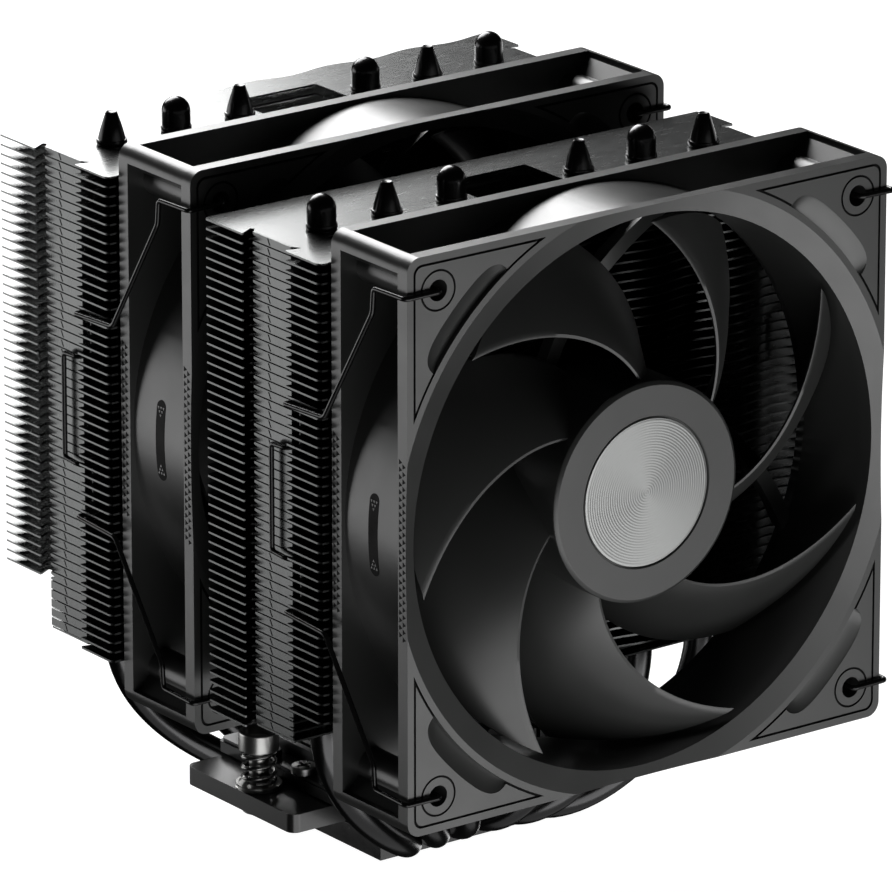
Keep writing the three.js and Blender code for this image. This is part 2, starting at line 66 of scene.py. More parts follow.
# ------------------------------------------------------------------ sizes read from the frame
FAN_LOW, FAN_HIGH = box_mm("front_fan_frame")
FAN_SIDE = FAN_HIGH.x - FAN_LOW.x
FAN_THICK = FAN_HIGH.y - FAN_LOW.y
FAN_Z = (FAN_LOW.z + FAN_HIGH.z) / 2
FAN_FRONTS = {"front": FAN_LOW.y, "mid": box_mm("mid_fan_frame")[0].y}
HALF = FAN_SIDE / 2
HOLE = 52.5  # half of the 105 mm spacing of a 120 mm fan's screw holes
FLANGE = 3.1
BARREL_OUT = 59.2
BARREL_IN = 57.2
MOUTH = 62.6  # radius where the inlet cone meets the front face
LIP = 64.0  # radius of the thin lip round the inlet
THROAT = 57.8
BLADES = 7
BLADE_ROOT = 22.2
BLADE_TIP = 56.1
BADGE_FACE = 0.9  # depth of the badge's face behind the frame's front

FIN_LOW, FIN_HIGH = box_mm("fin_stack_front")
FIN_HALF = FIN_HIGH.x
FINS = 53
FIN_THICK = 0.4
FIN_PITCH = (FIN_HIGH.z - FIN_LOW.z - FIN_THICK) / (FINS - 1)
TOWER_Y = {"front": -36.0, "rear": 36.9}

PIPES = 6
PIPE_ROW = 36.45
PIPE_STEP = 16.05
PIPE_RADIUS = 3.0
BASE_STEP = 6.8
BASE_Z = 5.2

PLATE_LOW, PLATE_HIGH = box_mm("cold_plate")
COVER_LOW, COVER_HIGH = box_mm("base_cover")
BAR_LOW, BAR_HIGH = box_mm("mounting_crossbar")
CAP_LOW, CAP_HIGH = box_mm("base_top_plate")
CAP_TOP = 18.4  # flat ledge of the top plate, under the screw heads
SCREW_X = 38.3
RETAINER_X = 31.3
RETAINER_Y = 6.2


# ------------------------------------------------------------------ node-tree helpers
def material(name, color, metallic, roughness, coat=0.0, coat_roughness=0.1):
    """A principled material with its socket values set, and its node tree's helpers."""
    mat = bpy.data.materials.new(name)
    mat.use_nodes = True
    shader = mat.node_tree.nodes["Principled BSDF"]
    shader.inputs["Base Color"].default_value = (*color, 1)
    shader.inputs["Metallic"].default_value = metallic
    shader.inputs["Roughness"].default_value = roughness
    shader.inputs["Coat Weight"].default_value = coat
    shader.inputs["Coat Roughness"].default_value = coat_roughness
    return mat, mat.node_tree, shader


def add_node(tree, kind, **values):
    """A node with its properties and input sockets set by name."""
    node = tree.nodes.new(kind)
    for key, value in values.items():
        if key in node.inputs:
            node.inputs[key].default_value = value
        else:
            setattr(node, key, value)
    return node


def object_noise(tree, scale, detail=4.0, stretch=(1, 1, 1), roughness=0.6):
    """A noise texture fixed to the object, optionally stretched along its axes."""
    coordinate = tree.nodes.new("ShaderNodeTexCoord")
    mapping = tree.nodes.new("ShaderNodeMapping")
    mapping.inputs["Scale"].default_value = stretch
    tree.links.new(coordinate.outputs["Object"], mapping.inputs["Vector"])
    noise = add_node(tree, "ShaderNodeTexNoise", Scale=scale, Detail=detail, Roughness=roughness)
    tree.links.new(mapping.outputs["Vector"], noise.inputs["Vector"])
    return noise


def vary_roughness(tree, shader, noise, low, high):
    """Roughness that wanders between two values."""
    spread = tree.nodes.new("ShaderNodeMapRange")
    spread.inputs["From Min"].default_value = 0.3
    spread.inputs["From Max"].default_value = 0.7
    spread.inputs["To Min"].default_value = low
    spread.inputs["To Max"].default_value = high
    tree.links.new(noise.outputs["Fac"], spread.inputs["Value"])
    tree.links.new(spread.outputs["Result"], shader.inputs["Roughness"])


def vary_color(tree, shader, noise, dark, light):
    """Base colour that wanders between two close tones."""
    ramp = tree.nodes.new("ShaderNodeValToRGB")
    ramp.color_ramp.elements[0].position = 0.3
    ramp.color_ramp.elements[0].color = (*dark, 1)
    ramp.color_ramp.elements[1].position = 0.7
    ramp.color_ramp.elements[1].color = (*light, 1)
    tree.links.new(noise.outputs["Fac"], ramp.inputs["Fac"])
    tree.links.new(ramp.outputs["Color"], shader.inputs["Base Color"])


def add_bump(tree, shader, texture, strength, distance):
    """Fine relief from a texture, distance in metres."""
    bump = add_node(tree, "ShaderNodeBump", Strength=strength, Distance=distance)
    tree.links.new(texture.outputs["Fac"], bump.inputs["Height"])
    tree.links.new(bump.outputs["Normal"], shader.inputs["Normal"])
    return bump


# ------------------------------------------------------------------ materials
def make_anodised():
    """Black anodised aluminium sheet: satin, with a faint rolled grain."""
    mat, tree, shader = material("fin_black_anodised", (0.12, 0.123, 0.122), 1.0, 0.25)
    grain = object_noise(tree, 220, 3, (1, 4, 1))
    vary_roughness(tree, shader, grain, 0.24, 0.28)
    vary_color(tree, shader, object_noise(tree, 60, 3), (0.114, 0.117, 0.116), (0.126, 0.129, 0.128))
    return mat


def make_frame_plastic():
    """Moulded black plastic with a fine spark texture."""
    mat, tree, shader = material("frame_matte_black", (0.035, 0.036, 0.035), 0.0, 0.32)
    shader.inputs["IOR"].default_value = 1.75
    grain = object_noise(tree, 2600, 3)
    vary_roughness(tree, shader, object_noise(tree, 90, 4), 0.29, 0.35)
    add_bump(tree, shader, grain, 0.12, 0.00004)
    return mat


def make_rotor_plastic():
    """Smooth satin plastic of the impellers, with faint flow variation."""
    mat, tree, shader = material("rotor_satin_black", (0.035, 0.036, 0.035), 0.0, 0.36)
    shader.inputs["IOR"].default_value = 1.75
    vary_roughness(tree, shader, object_noise(tree, 70, 4), 0.33, 0.39)
    add_bump(tree, shader, object_noise(tree, 3000, 2), 0.08, 0.00003)
    return mat


def make_painted_recess_shade():
    """Near-black finish of the frame's grooves, knurl triangles and side recess: painted shade, darker
    than the plastic itself.
    """
    mat, tree, shader = material("painted_recess_shade_black", (0.003, 0.003, 0.003), 0.0, 0.6)
    shader.inputs["IOR"].default_value = 1.25
    vary_roughness(tree, shader, object_noise(tree, 120, 3), 0.55, 0.65)
    return mat


def make_pipe():
    """Black nickel plating, glossy with slight waviness."""
    mat, tree, shader = material("pipe_black_nickel", (0.07, 0.07, 0.071), 1.0, 0.24)
    vary_roughness(tree, shader, object_noise(tree, 140, 4), 0.21, 0.27)
    add_bump(tree, shader, object_noise(tree, 900, 2), 0.03, 0.00002)
    return mat


def make_gloss_bar():
    """Glossy black enamel over flat steel."""
    mat, tree, shader = material("bar_gloss_black", (0.012, 0.012, 0.012), 0.0, 0.28, 0.1, 0.14)
    shader.inputs["IOR"].default_value = 1.65
    vary_roughness(tree, shader, object_noise(tree, 60, 2), 0.27, 0.3)
    return mat


def make_ribbed_cap():
    """Dark anodised casting of the top plate."""
    mat, tree, shader = material("cap_black_satin", (0.07, 0.071, 0.071), 1.0, 0.3)
    grain = object_noise(tree, 260, 4, (1, 4, 1))
    vary_roughness(tree, shader, grain, 0.27, 0.33)
    add_bump(tree, shader, grain, 0.03, 0.00001)
    return mat


def make_nickel():
    """Black nickel plate of the base block, ground flat."""
    mat, tree, shader = material("base_nickel", (0.06, 0.06, 0.06), 1.0, 0.24)
    grain = object_noise(tree, 300, 4, (18, 1, 1))
    vary_roughness(tree, shader, grain, 0.22, 0.28)
    add_bump(tree, shader, grain, 0.04, 0.00001)
    return mat


def make_satin_steel():
    """Turned satin steel of the screw caps, studs and washers."""
    mat, tree, shader = material("steel_satin", (0.42, 0.42, 0.41), 1.0, 0.3)
    turned = object_noise(tree, 240, 3, (1, 1, 16))
    vary_roughness(tree, shader, turned, 0.28, 0.33)
    add_bump(tree, shader, turned, 0.02, 0.00001)
    return mat


def make_spring_steel():
    """Drawn spring wire."""
    mat, tree, shader = material("spring_wire_steel", (0.24, 0.24, 0.235), 1.0, 0.22)
    vary_roughness(tree, shader, object_noise(tree, 600, 3), 0.16, 0.3)
    return mat


def make_dark_screw():
    """Black zinc screw heads."""
    mat, tree, shader = material("screw_black_zinc", (0.3, 0.3, 0.3), 1.0, 0.34)
    vary_roughness(tree, shader, object_noise(tree, 500, 3), 0.24, 0.38)
    return mat


def make_wire():
    """Black lacquered spring wire of the fan clips."""
    mat, tree, shader = material("clip_wire_black", (0.006, 0.006, 0.006), 0.0, 0.2)
    vary_roughness(tree, shader, object_noise(tree, 700, 3), 0.18, 0.23)
    return mat


def make_badge():
    """Spun aluminium disc with fine concentric grooves about the fan axis."""
    mat, tree, shader = material("badge_spun_silver", (0.36, 0.365, 0.36), 1.0, 0.34)
    shader.inputs["Anisotropic"].default_value = 0.5
    coordinate = tree.nodes.new("ShaderNodeTexCoord")
    mapping = tree.nodes.new("ShaderNodeMapping")
    mapping.inputs["Location"].default_value = (0, 0, -FAN_Z * MM)
    tree.links.new(coordinate.outputs["Object"], mapping.inputs["Vector"])
    wave = add_node(tree, "ShaderNodeTexWave", wave_type="RINGS", rings_direction="Y", Scale=560.0)
    tree.links.new(mapping.outputs["Vector"], wave.inputs["Vector"])
    add_bump(tree, shader, wave, 0.3, 0.00004)
    tangent = add_node(tree, "ShaderNodeTangent", direction_type="RADIAL", axis="Y")
    tree.links.new(tangent.outputs["Tangent"], shader.inputs["Tangent"])
    return mat


def make_plain(name, color, metallic, roughness, scale=300):
    """A simple finish with fine wear, for the small inner parts."""
    mat, tree, shader = material(name, color, metallic, roughness)
    vary_roughness(tree, shader, object_noise(tree, scale, 4), roughness * 0.85, roughness * 1.15)
    add_bump(tree, shader, object_noise(tree, scale * 4, 3), 0.08, 0.00003)
    return mat


LOOK = {
    "fin": make_anodised(),
    "frame": make_frame_plastic(),
    "rotor": make_rotor_plastic(),
    # painted shade: near-black finish laid into grooves, knurl triangles and the side recess
    "painted_shade": make_painted_recess_shade(),
    "pipe": make_pipe(),
    "bar": make_gloss_bar(),
    "cap": make_ribbed_cap(),
    "nickel": make_nickel(),
    "steel": make_satin_steel(),
    "spring": make_spring_steel(),
    "screw": make_dark_screw(),
    "wire": make_wire(),
    "badge": make_badge(),
    "magnet": make_plain("magnet_ferrite", (0.03, 0.03, 0.03), 0.0, 0.6),
    "winding": make_plain("winding_copper", (0.55, 0.22, 0.1), 1.0, 0.35),
    "board": make_plain("board_green", (0.02, 0.09, 0.045), 0.0, 0.5),
    "bearing": make_plain("bearing_bronze", (0.45, 0.3, 0.12), 1.0, 0.4),
}


# ------------------------------------------------------------------ mesh building
class Shell:
    """Vertices in millimetres and faces, gathered piece by piece into one mesh."""

    def __init__(self):
        self.verts = []
        self.faces = []
        self.marks = []

    def add(self, verts, faces, mark=0):
        """Adds one closed lump; mark is its material's index."""
        start = len(self.verts)
        self.verts.extend(tuple(v) for v in verts)
        self.faces.extend(tuple(start + i for i in face) for face in faces)
        self.marks.extend([mark] * len(faces))
        return self

    def slab(self, loops, low, high, axis="Z", mark=0):
        """A flat plate with holes: loops are 2D outlines, the first is the outer one."""
        flat = [Vector((x, y, 0)) for loop in loops for x, y in loop]
        caps = tessellate_polygon([[Vector((x, y, 0)) for x, y in loop] for loop in loops])
        count = len(flat)
        place = {
            "Z": lambda p, t: (p.x, p.y, t),
            "Y": lambda p, t: (p.x, t, p.y),
            "X": lambda p, t: (t, p.x, p.y),
        }[axis]
        verts = [place(p, low) for p in flat] + [place(p, high) for p in flat]
        faces = [tuple(tri) for tri in caps] + [tuple(count + i for i in tri) for tri in caps]
        start = 0
        for loop in loops:
            size = len(loop)
            for i in range(size):
                a, b = start + i, start + (i + 1) % size
                faces.append((a, b, count + b, count + a))
            start += size
        return self.add(verts, faces, mark)

    def lathe(self, profile, centre=(0, 0, 0), axis="Z", sides=64, mark=0, closed=False):
        """A turned solid from (radius, height) pairs; ends on the axis unless it closes on itself."""
        rings = []
        verts = []
        for radius, height in profile:
            if radius < 1e-6:
                rings.append([len(verts)])
                verts.append((0, 0, height))
                continue
            rings.append(list(range(len(verts), len(verts) + sides)))
            for i in range(sides):
                a = 2 * math.pi * i / sides
                verts.append((radius * math.cos(a), radius * math.sin(a), height))
        pairs = list(zip(rings, rings[1:]))
        if closed:
            pairs.append((rings[-1], rings[0]))
        faces = []
        for low, high in pairs:
            if len(low) == 1 and len(high) == 1:
                continue
            for i in range(sides):
                j = (i + 1) % sides
                if len(low) == 1:
                    faces.append((low[0], high[j], high[i]))
                elif len(high) == 1:
                    faces.append((low[i], low[j], high[0]))
                else:
                    faces.append((low[i], low[j], high[j], high[i]))
        if axis == "Y":
            verts = [(x, z, -y) for x, y, z in verts]
        cx, cy, cz = centre
        return self.add([(x + cx, y + cy, z + cz) for x, y, z in verts], faces, mark)

    def tube(self, path, radius, sides=12, mark=0):
        """A round rod along a list of points, with flat ends."""
        points = [Vector(p) for p in path]
        normal = None
        verts = []
        for i, at in enumerate(points):
            before = points[max(i - 1, 0)]
            after = points[min(i + 1, len(points) - 1)]
            along = (after - before).normalized()
            if normal is None:
                normal = along.orthogonal().normalized()
            normal = (normal - along * normal.dot(along)).normalized()
            side = along.cross(normal)
            for k in range(sides):
                a = 2 * math.pi * k / sides
                verts.append(at + normal * (radius * math.cos(a)) + side * (radius * math.sin(a)))
        faces = []
        for i in range(len(points) - 1):
            for k in range(sides):
                a, b = i * sides + k, i * sides + (k + 1) % sides
                faces.append((a, b, b + sides, a + sides))
        faces.append(tuple(range(sides)))
        last = (len(points) - 1) * sides
        faces.append(tuple(last + k for k in reversed(range(sides))))
        return self.add(verts, faces, mark)

    def block(self, low, high, mark=0):
        """An upright box, for small ribs and blocks that are bevelled afterwards."""
        (x0, y0, z0), (x1, y1, z1) = low, high
        return self.slab([[(x0, y0), (x1, y0), (x1, y1), (x0, y1)]], z0, z1, "Z", mark)

    def make(self, name, materials, body, replaced=(), bevel=0.0, segments=2,
             angle=30):
        """The mesh object, riding on its body and standing for the CAD nodes it replaces."""
        mesh = bpy.data.meshes.new(name)
        mesh.from_pydata([(x * MM, y * MM, z * MM) for x, y, z in self.verts], [], self.faces)
        for each in materials:
            mesh.materials.append(LOOK[each])
        mesh.polygons.foreach_set("material_index", self.marks)
        mesh.validate()
        outward(mesh)
        return dress(mesh, name, body, replaced, bevel, segments, angle)


def outward(mesh):
    """Turns every closed lump's faces outward."""
    work = bmesh.new()
    work.from_mesh(mesh)
    bmesh.ops.recalc_face_normals(work, faces=work.faces)
    work.to_mesh(mesh)
    work.free()


def dress(mesh, name, body, replaced=(), bevel=0.0, segments=2, angle=30):
    """Smooth shading with crisp edges, an optional edge round, and the ties to the frame."""
    mesh.polygons.foreach_set("use_smooth", [True] * len(mesh.polygons))
    mesh.set_sharp_from_angle(angle=math.radians(angle))
    obj = bpy.data.objects.new(name, mesh)
    bpy.context.scene.collection.objects.link(obj)
    if bevel:
        edge = obj.modifiers.new("edge", "BEVEL")
        edge.width = bevel * MM
        edge.segments = segments
        edge.limit_method = "ANGLE"
        edge.angle_limit = math.radians(max(angle, 30))
        edge.harden_normals = True
    weigh = obj.modifiers.new("weigh", "WEIGHTED_NORMAL")
    weigh.keep_sharp = True
    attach(obj, body)
    if replaced:
        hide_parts(*replaced)
    return obj


def circle(radius, sides, x=0.0, y=0.0):
    """Points round a circle."""
    return [(x + radius * math.cos(2 * math.pi * i / sides),
             y + radius * math.sin(2 * math.pi * i / sides)) for i in range(sides)]


def arc(radius, start, end, steps, x=0.0, y=0.0):
    """Points along an arc, angles in degrees, both ends included."""
    return [(x + radius * math.cos(math.radians(start + (end - start) * i / steps)),
             y + radius * math.sin(math.radians(start + (end - start) * i / steps)))
            for i in range(steps + 1)]


def rounded(half_x, half_y, radius, steps=8, x=0.0, y=0.0):
    """A rectangle with rounded corners."""
    points = []
    for quarter, (sx, sy) in enumerate([(1, 1), (-1, 1), (-1, -1), (1, -1)]):
        points += arc(radius, 90 * quarter, 90 * quarter + 90, steps,
                      x + sx * (half_x - radius), y + sy * (half_y - radius))
    return points


def boolean(target, cutter, operation):
    """Applies one boolean to target's mesh and removes the cutter."""
    step = target.modifiers.new("cut", "BOOLEAN")
    step.operation = operation
    step.solver = "EXACT"
    step.object = cutter
    step.material_mode = "TRANSFER"
    graph = bpy.context.evaluated_depsgraph_get()
    result = bpy.data.meshes.new_from_object(target.evaluated_get(graph))
    target.modifiers.clear()
    target.data = result
    bpy.data.objects.remove(cutter)


def loose(shell, name, materials=("frame",)):
    """A temporary object for booleans."""
    mesh = bpy.data.meshes.new(name)
    mesh.from_pydata([(x * MM, y * MM, z * MM) for x, y, z in shell.verts], [], shell.faces)
    for each in materials:
        mesh.materials.append(LOOK[each])
    mesh.polygons.foreach_set("material_index", shell.marks)
    outward(mesh)
    obj = bpy.data.objects.new(name, mesh)
    bpy.context.scene.collection.objects.link(obj)
    return obj


# ------------------------------------------------------------------ heat pipes
def tower_x(i):
    """X of pipe i (0 to 5) in the towers."""
    return math.copysign(abs(i - 2.5) + 0.5, i - 2.5) * PIPE_STEP


def base_x(i):
    """X of pipe i (0 to 5) in the base."""
    return (i - 2.5) * BASE_STEP


def bezier(p0, p1, p2, p3, steps):
    """Points along a cubic curve."""
    points = []
    for k in range(steps + 1):
        t = k / steps
        a, b, c, d = (1 - t) ** 3, 3 * t * (1 - t) ** 2, 3 * t * t * (1 - t), t ** 3
        points.append(tuple(a * p0[n] + b * p1[n] + c * p2[n] + d * p3[n] for n in range(3)))
    return points


def pipe_leg(i, side):
    """Stations from the straight leg down into the base; side is -1 for the front."""
    outward_step = abs(i - 2.5) - 0.5
    top = (tower_x(i), side * PIPE_ROW, 42)
    foot = (base_x(i), side * 19, BASE_Z)
    drop = (top[0], top[1], 20 - outward_step)
    reach = (foot[0], side * (32 + 1.6 * outward_step), BASE_Z)
    upper = [(top[0], top[1], z) for z in (146.5, 110, 75, 50)]
    return upper + bezier(top, drop, reach, foot, 28)


def tip_profile(domed):
    """Collar and closed end above the top fin, as (radius, height)."""
    collar = [(0, 144), (3.02, 144), (3.02, 146.5), (3.12, 146.6), (3.2, 146.75), (3.2, 147.45),
              (3.12, 147.6)]
    if domed:
        body = [(2.98, 147.62), (2.98, 150.6)]
        crown = [(2.98 * math.cos(a), 150.6 + 3.05 * math.sin(a))
                 for a in np.linspace(0.12, 1.45, 12)]
        return collar + body + crown + [(0, 153.65)]
    cone = [(2.85, 147.62)]
    cone += [(2.8 - 1.62 * t ** 1.15, 147.8 + 5.35 * t) for t in np.linspace(0, 1, 9)]
    return collar + cone + [(1.02, 153.3), (0.8, 153.24), (0, 153.1)]


def make_pipes():
    """Six U-shaped pipes, each with one domed and one tapered tip."""
    for i in range(PIPES):
        shell = Shell()
        rear = pipe_leg(i, 1)
        shell.tube(pipe_leg(i, -1) + rear[::-1], PIPE_RADIUS, 32)
        for side in (-1, 1):
            domed = (i % 2 == 0) == (side < 0)
            shell.lathe(tip_profile(domed), (tower_x(i), side * PIPE_ROW, 0), "Z", 40)
        shell.make(f"pipe_{i + 1}_look", ["pipe"], "cooler", [f"heat_pipe_{i + 1}"],
                   angle=28)


# ------------------------------------------------------------------ fin towers
def waved_edge(steps=72):
    """The fin's long free edge, left to right, with six gentle waves."""
    depth = 19.6
    points = []
    for k in range(1, steps):
        x = -FIN_HALF + 2 * FIN_HALF * k / steps
        points.append((x, -depth + 0.75 - 0.75 * math.cos(2 * math.pi * 6 * k / steps)))
    return points


def fin_side(seat):
    """Left side of a fin, from the plain edge to the waved edge, about the tower's middle."""
    finger = [(-58.9, -8.6), (-62.2, -7.75)]
    if seat:
        finger = [(-58.4, -7.6), (-58.4, -10.4), (-62.3, -10.4)]
    return [(-61.9, 19.6), (-62.45, 19.0), (-62.5, 6.7), (-62.2, 6.6), (-59.3, 8.3), (-58.7, 7.6),
            (-59.95, 6.1), (-59.95, -6.75), (-59.0, -8.0), *finger, (-62.5, -8.2), (-62.5, -18.2),
            (-61.9, -19.4)]


BARE_STEPS = 8  # points of a side that a fin without its waved wing keeps


def fin_loops(wing, seat, window, slots, hole_y):
    """All outlines of one fin: its edge, pipe holes, and the top fins' window or slots."""
    side = fin_side(seat)
    right = [(-x, -y) for x, y in side]
    outer = side + waved_edge() + right
    if not wing:
        outer = side[:BARE_STEPS] + right[6:]
    loops = [outer]
    loops += [circle(PIPE_RADIUS + 0.08, 28, tower_x(i), hole_y) for i in range(PIPES)]
    if window:
        loops.append(rounded(10.8, 10.3, 0.4, 3, 0, 0.3))
    if slots:
        for k in range(4):
            x = -5.4 + 2.0 * k
            loops.append([(x, 5.2), (x + 0.5, 5.2), (x + 1.4, 8.2), (x + 0.9, 8.2)])
    return loops


def tab_loop(front, back, notched):
    """One folded tab as (y, z) below its fin's top, notched in front and, beside a wing, behind."""
    low = -FIN_PITCH + 0.3
    notch = [(back, -0.5), (back - 1.5, -0.85), (back, -1.2)]
    ends = [(back, low), (front, low), (front, -1.35), (front + 1.7, -1.22), (front, -0.95),
            (front, 0.0)]
    return [(back, 0.0), *(notch if notched else []), *ends]


def add_tabs(shell, top, wing):
    """The two side tabs of a fin, with the slit where each locks into the next."""
    slit = [(0.85, -0.15), (1.3, -0.15), (0.55, -1.5), (0.1, -1.5)]
    for side in (-1, 1):
        tab = tab_loop(-6.7, 6.1, wing)
        loops = [[(-side * y, top + h) for y, h in loop] for loop in (tab, slit)]
        x0, x1 = sorted((side * 60.2, side * 59.85))
        shell.slab(loops, x0, x1, "X")


def make_tower(which):
    """All 53 fins of a tower as one mesh of separate sheets, with their side tabs."""
    front = which == "front"
    shell = Shell()
    hole_y = -PIPE_ROW - TOWER_Y["front"]
    hole_y = hole_y if front else -(PIPE_ROW - TOWER_Y["rear"])
    bare = 4 if front else 6
    for i in range(FINS):
        z = FIN_LOW.z + i * FIN_PITCH
        depth = FINS - 1 - i
        middle = z - FAN_Z
        seat = 10.8 < abs(middle) < 23.2
        loops = fin_loops(i >= bare, seat, depth < 2, depth == 2, hole_y)
        shell.slab(loops, z, z + FIN_THICK)
        if i:
            add_tabs(shell, z + FIN_THICK, i >= bare)
    sign = 1 if front else -1
    shell.verts = [(sign * x, sign * y + TOWER_Y[which], z) for x, y, z in shell.verts]
    shell.make(f"fins_{which}_look", ["fin"], "cooler", [f"fin_stack_{which}"], angle=30)


# ------------------------------------------------------------------ fans
def corner_signs():
    """The four corners of the frame as (x sign, z sign)."""
    return [(-1, -1), (1, -1), (1, 1), (-1, 1)]


def mirrored(points):
    """A corner outline drawn for the upper right, repeated in the four corners."""
    return [[(sx * x, sz * z) for x, z in points] for sx, sz in corner_signs()]


def frame_solid():
    """The square moulding about its own axis, before its fine details; y runs 0 to 25."""
    t = FAN_THICK
    square = rounded(HALF, HALF, 3, 12)
    body = Shell()
    body.slab([square], 0, FLANGE, "Y")
    body.slab([square], t - FLANGE, t, "Y")
    target = loose(body, "frame_work")
    beam = HALF - 3.0
    post = [*arc(3, 0, 90, 12, beam, beam), (beam, beam - 0.4), (HALF, beam - 0.4)]
    web = [(52.5, 50.4), (58.8, 56.7), (56.7, 58.8), (50.4, 52.5)]
    unions = [[circle(BARREL_OUT, 180)], mirrored(post), mirrored(web),
              [circle(3.7, 40, sx * HOLE, sz * HOLE) for sx, sz in corner_signs()]]
    for group in unions:
        part = Shell()
        for outline in group:
            part.slab([outline], FLANGE - 0.6, t - FLANGE + 0.6, "Y")
        boolean(target, loose(part, "part"), "UNION")
    bore = Shell()
    bore.lathe([(0, -2), (MOUTH + 0.4, -2), (MOUTH, 0), (THROAT, 1.0), (BARREL_IN, 5),
                (BARREL_IN, t - 3), (57.6, t - 1), (58.2, t + 1), (0, t + 1)], axis="Y", sides=180)
    boolean(target, loose(bore, "bore"), "DIFFERENCE")
    holes = Shell()
    for sx, sz in corner_signs():
        holes.slab([circle(2.2, 48, sx * HOLE, sz * HOLE)], -1, t + 1, "Y")
    boolean(target, loose(holes, "holes"), "DIFFERENCE")
    return target


def pad_outline(inset, radius, bend):
    """Corner pad bounded by two straight edges and the arc round the inlet."""
    start = math.degrees(math.acos(inset / radius))
    return arc(bend, 0, 90, 6, inset - bend, inset - bend) + arc(radius, 90 - start, start, 24)


def pad_grooves():
    """Thin grooves round the pads and the screw holes, their walls and floors near-black as painted
    shade.
    """
    cuts = Shell()
    width = 0.5
    inset = HALF - 1.55
    outer = mirrored(pad_outline(inset, LIP, 2.0))
    inner = mirrored(pad_outline(inset - width, LIP + width, 1.7))
    for pair in zip(outer, inner):
        # mark 1: the near-black painted shade inside the pad grooves
        cuts.slab(list(pair), -0.4, 0.45, "Y", 1)
    for sx, sz in corner_signs():
        x, z = sx * HOLE, sz * HOLE
        # mark 1 again: painted shade inside the rings round the screw holes
        cuts.slab([circle(4.3, 40, x, z), circle(3.85, 40, x, z)], -0.4, 0.3, "Y", 1)
    return cuts


def crescents():
    """Recesses between lip and pad, deepest beside the lip."""
    cuts = Shell()
    section = [(0.0, 1.15), (0.0, -0.4), (1.0, -0.4), (1.0, 0.0), (0.9, 0.2), (0.6, 0.6),
               (0.3, 0.92)]
    count = len(section)
    steps = 32
    for sx, sz in corner_signs():
        verts = []
        for k in range(steps + 1):
            along = math.sin(math.pi * (k / steps - 0.5))
            width = 4.2 * (1.001 - along ** 6) ** 0.5 + 0.15
            a = math.radians(45 + 11.4 * along)
            for across, y in section:
                radius = LIP - 0.02 + width * across
                deep = y if y < 0 else y * min(1.0, width / 4.2 + 0.1)
                verts.append((sx * radius * math.cos(a), deep, sz * radius * math.sin(a)))
        faces = [(count * k + i, count * k + (i + 1) % count, count * (k + 1) + (i + 1) % count,
                  count * (k + 1) + i) for k in range(steps) for i in range(count)]
        faces += [tuple(range(count)), tuple(count * steps + i for i in reversed(range(count)))]
        cuts.add(verts, faces)
    return cuts


def painted_knurl_shade(shell):
    """Two staggered columns of small near-black triangles along each flange's outer edge: thin sheets
    of painted shade standing for the knurled relief.
    """
    for side in (-1, 1):
        x0, x1 = sorted((side * HALF, side * (HALF + 0.03)))
        for y0 in (0, FAN_THICK - FLANGE):
            for k in range(24):
                for column in (0, 1):
                    y = y0 + 0.55 + 1.15 * column
                    z = -18.5 + 1.56 * k + 0.78 * column
                    tri = [(y + 1.0, z - 0.55), (y + 1.0, z + 0.55), (y, z)]
                    # thin near-black sheet: painted shade of one knurl
                    shell.slab([tri], x0, x1, "X", 1)


def on_barrel(z, lift):
    """Distance from the fan's axis plane to the barrel's surface at a height."""
    return math.sqrt((BARREL_OUT + lift) ** 2 - z * z)


def side_recess_shade_and_arrows(shell):
    """A near-black rounded patch on the barrel's sides, painted shade standing for a recess, with a
    group of small raised arrows at each end.
    """
    half_long, half_wide, middle = 8.6, 1.5, 12.5
    steps = 28
    for side in (-1, 1):
        verts = []
        for k in range(steps + 1):
            z = half_long * math.sin(math.pi * (k / steps - 0.5))
            over = max(0.0, abs(z) - (half_long - half_wide))
            wide = math.sqrt(max(0.02, half_wide ** 2 - over ** 2))
            for lift, y in ((0.05, -wide), (0.05, wide), (-0.3, wide), (-0.3, -wide)):
                verts.append((side * on_barrel(z, lift), middle + y, z))
        faces = [(4 * k + i, 4 * k + (i + 1) % 4, 4 * k + 4 + (i + 1) % 4, 4 * k + 4 + i)
                 for k in range(steps) for i in range(4)]
        faces += [(0, 1, 2, 3), tuple(4 * steps + i for i in (3, 2, 1, 0))]
        # mark 1: the patch is a thin lump of near-black painted shade, not a cut
        shell.add(verts, faces, 1)
        for end in (-1, 1):
            for row in range(3):
                for place in range(3 - row):
                    y = middle + (place - (2 - row) / 2) * 0.85
                    z = end * (6.9 - 0.8 * row)
                    size = 0.3
                    tri = [(y - size, z + end * size), (y + size, z + end * size), (y, z - end * size)]
                    low, high = sorted((side * on_barrel(z, 0.0), side * on_barrel(z, 0.1)))
                    shell.slab([tri], low, high, "X", 0)


def strut_outline(turn):
    """One strut of even width that sweeps out from the motor cup on a spiral."""
    inner, outer, sweep, half = 20.8, BARREL_IN + 0.5, 42, 1.55
    edges = ([], [])
    steps = 16
    for k in range(steps + 1):
        radius = inner + (outer - inner) * k / steps
        angle = math.radians(66 + turn) - math.tan(math.radians(sweep)) * math.log(radius / outer)
        heading = angle - math.radians(sweep)
        for edge, side in zip(edges, (-1, 1)):
            edge.append((radius * math.cos(angle) - side * half * math.sin(heading),
                         radius * math.sin(angle) + side * half * math.cos(heading)))
    return edges[0] + edges[1][::-1]


def struts_and_cup(shell):
    """Four swept struts, the motor cup and the bearing tube."""
    for turn in (0, 90, 180, 270):
        shell.slab([strut_outline(turn)], 21.4, 24.5, "Y")
    cup = [(3.5, 6), (4.6, 6), (4.6, 21.5), (20.3, 21.5), (20.3, 19.4), (20.7, 19.2), (21.5, 19.2),
           (21.8, 19.6), (21.8, 24.2), (21.3, 24.7), (3.5, 24.7)]
    shell.lathe(cup, axis="Y", sides=72, closed=True)


